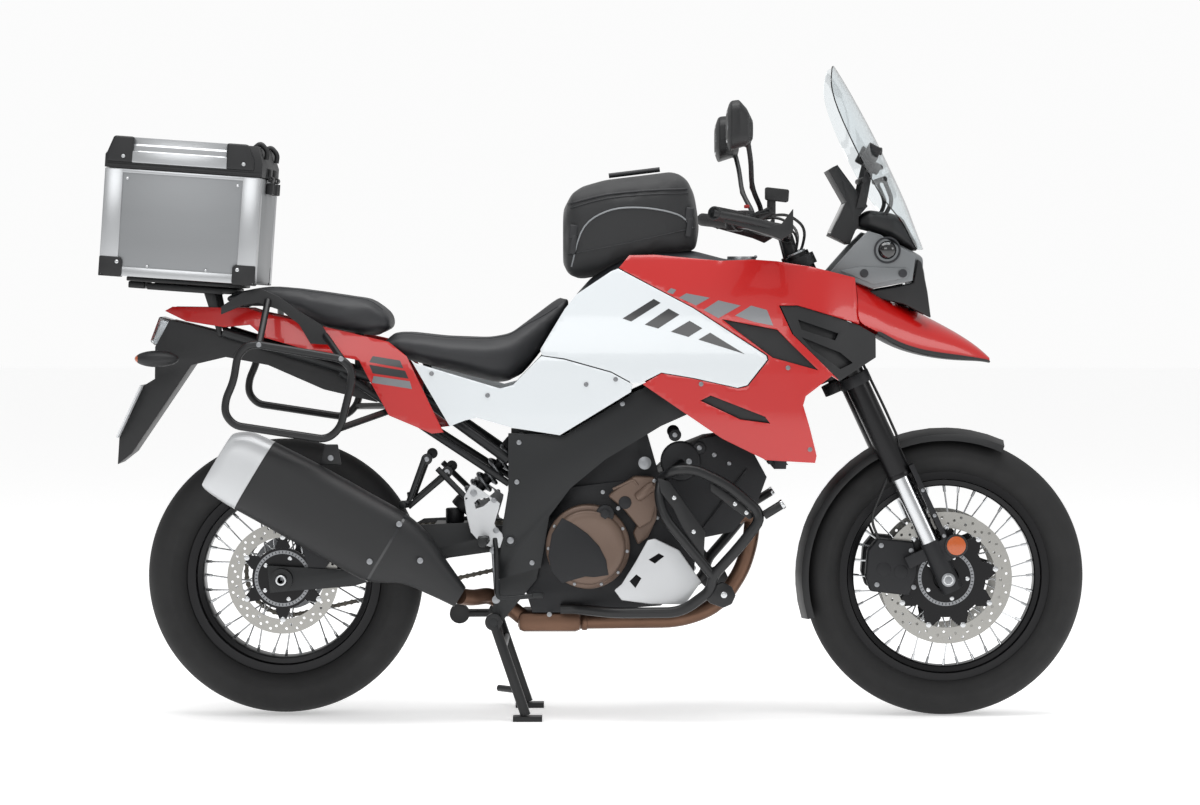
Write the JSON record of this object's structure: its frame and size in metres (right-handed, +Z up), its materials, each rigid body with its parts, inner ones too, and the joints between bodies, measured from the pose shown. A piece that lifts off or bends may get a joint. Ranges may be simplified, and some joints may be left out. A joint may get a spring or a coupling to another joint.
{
  "type": "adventure motorcycle",
  "caption": "Adventure motorcycle on its centre stand, with wire wheels, a beak and tall screen, crash bars, pannier frames, a tank bag and an aluminium top box",
  "frame": {"origin": "on the floor, under the middle of the whole machine's box", "axes": "+X is forward, +Y is the rider's left, +Z is up"},
  "size_m": [2.2981, 0.938, 1.53],
  "materials": {
    "tyre": "matt black tyre rubber",
    "rim_black": "satin black powder coat",
    "spoke_steel": "bright steel spokes and a grey hub",
    "disc_steel": "ground brake steel",
    "axle_steel": "turned steel",
    "fork_black": "satin black anodising",
    "stanchion": "hard chrome",
    "clamp_silver": "cast aluminium, lacquered",
    "frame_black": "satin black paint",
    "tube_black": "textured black powder coat",
    "plastic_black": "grained black plastic",
    "gloss_red": "gloss red lacquer with a white panel",
    "gloss_red_body": "gloss red lacquer",
    "gloss_white": "gloss cool white lacquer",
    "engine_black": "black painted castings",
    "cover_bronze": "bronze painted covers",
    "header": "heat tinted steel",
    "muffler_black": "matt black heatproof paint",
    "muffler_silver": "satin silver",
    "belly_silver": "silver paint",
    "tank_black": "black",
    "cap_alu": "brushed aluminium",
    "seat_vinyl": "black seat vinyl",
    "bag_fabric": "black woven nylon",
    "lamp_housing": "grey lamp housing",
    "screen": "clear polycarbonate",
    "box_aluminium": "brushed aluminium sheet",
    "lid_black": "black lid rim",
    "plate": "blank white plate",
    "lens": "clear lamp lens",
    "footrest_silver": "cast aluminium and black rubber",
    "chain": "oiled steel chain"
  },
  "bodies": {
    "chassis": {"rear_axle": "axle_steel", "main_frame": "frame_black", "subframe": "frame_black", "engine": "engine_black", "engine_covers": "cover_bronze", "radiator": "plastic_black", "exhaust_pipe": "header", "muffler": "muffler_black", "muffler_end": "muffler_silver", "belly_cowls": "belly_silver", "crash_bars": "tube_black", "fuel_tank": "tank_black", "tank_bag": "bag_fabric", "side_cowls": "gloss_red", "side_covers": "gloss_white", "cowl_vents": "plastic_black", "beak": "gloss_red_body", "headlight": "lamp_housing", "nose_fairing": "plastic_black", "windscreen": "screen", "instruments": "plastic_black", "rider_seat": "seat_vinyl", "pillion_seat": "seat_vinyl", "tail_cowls": "gloss_red_body", "grab_rails": "frame_black", "luggage_rack": "frame_black", "top_box": "box_aluminium", "rear_fender": "plastic_black", "number_plate": "plate", "rear_lights": "lens", "pannier_frames": "tube_black", "swingarm": "frame_black", "rear_shock": "plastic_black", "footrests": "footrest_silver", "drive_chain": "chain", "rear_caliper": "plastic_black"},
    "steering": {"fork_tubes": "fork_black", "fork_legs": "stanchion", "fork_feet": "plastic_black", "fork_clamps": "clamp_silver", "handlebar": "frame_black", "bar_controls": "plastic_black", "mirrors": "plastic_black", "front_fender": "plastic_black", "front_calipers": "plastic_black", "front_axle": "axle_steel"},
    "front_wheel": {"front_tyre": "tyre", "front_rim": "rim_black", "front_hub": "spoke_steel", "front_discs": "disc_steel"},
    "rear_wheel": {"rear_tyre": "tyre", "rear_rim": "rim_black", "rear_hub": "spoke_steel", "rear_disc": "disc_steel", "sprocket": "disc_steel"},
    "centre_stand": {"centre_stand": "frame_black"},
    "side_stand": {"side_stand": "frame_black"},
    "box_lid": {"top_box_lid": "lid_black"},
    "filler_cap": {"fuel_cap": "cap_alu"}
  },
  "joints": [
    {"name": "steer", "type": "hinge", "parent": "chassis", "child": "steering", "pos_m": [0.50313, 0, 0.91488], "axis": [-0.4226, 0, 0.9063], "range_deg": [-35, 35]},
    {"name": "front_spin", "type": "hinge", "parent": "steering", "child": "front_wheel", "pos_m": [0.82, 0, 0.33], "axis": [0, 1, 0], "continuous": true},
    {"name": "rear_spin", "type": "hinge", "parent": "chassis", "child": "rear_wheel", "pos_m": [-0.735, 0, 0.33], "axis": [0, 1, 0], "continuous": true},
    {"name": "centre_stand_fold", "type": "hinge", "parent": "chassis", "child": "centre_stand", "pos_m": [-0.24, 0, 0.232], "axis": [0, 1, 0], "range_deg": [0, 113]},
    {"name": "side_stand_fold", "type": "hinge", "parent": "chassis", "child": "side_stand", "pos_m": [-0.11, 0.146, 0.225], "axis": [0, -0.9511, -0.309], "range_deg": [0, 105]},
    {"name": "lid_hinge", "type": "hinge", "parent": "chassis", "child": "box_lid", "pos_m": [-0.76072, 0, 1.26277], "axis": [0, 1, 0], "range_deg": [0, 85]},
    {"name": "cap_hinge", "type": "hinge", "parent": "chassis", "child": "filler_cap", "pos_m": [0.375, 0, 1.083], "axis": [0, 1, 0], "range_deg": [0, 80]}
  ]
}
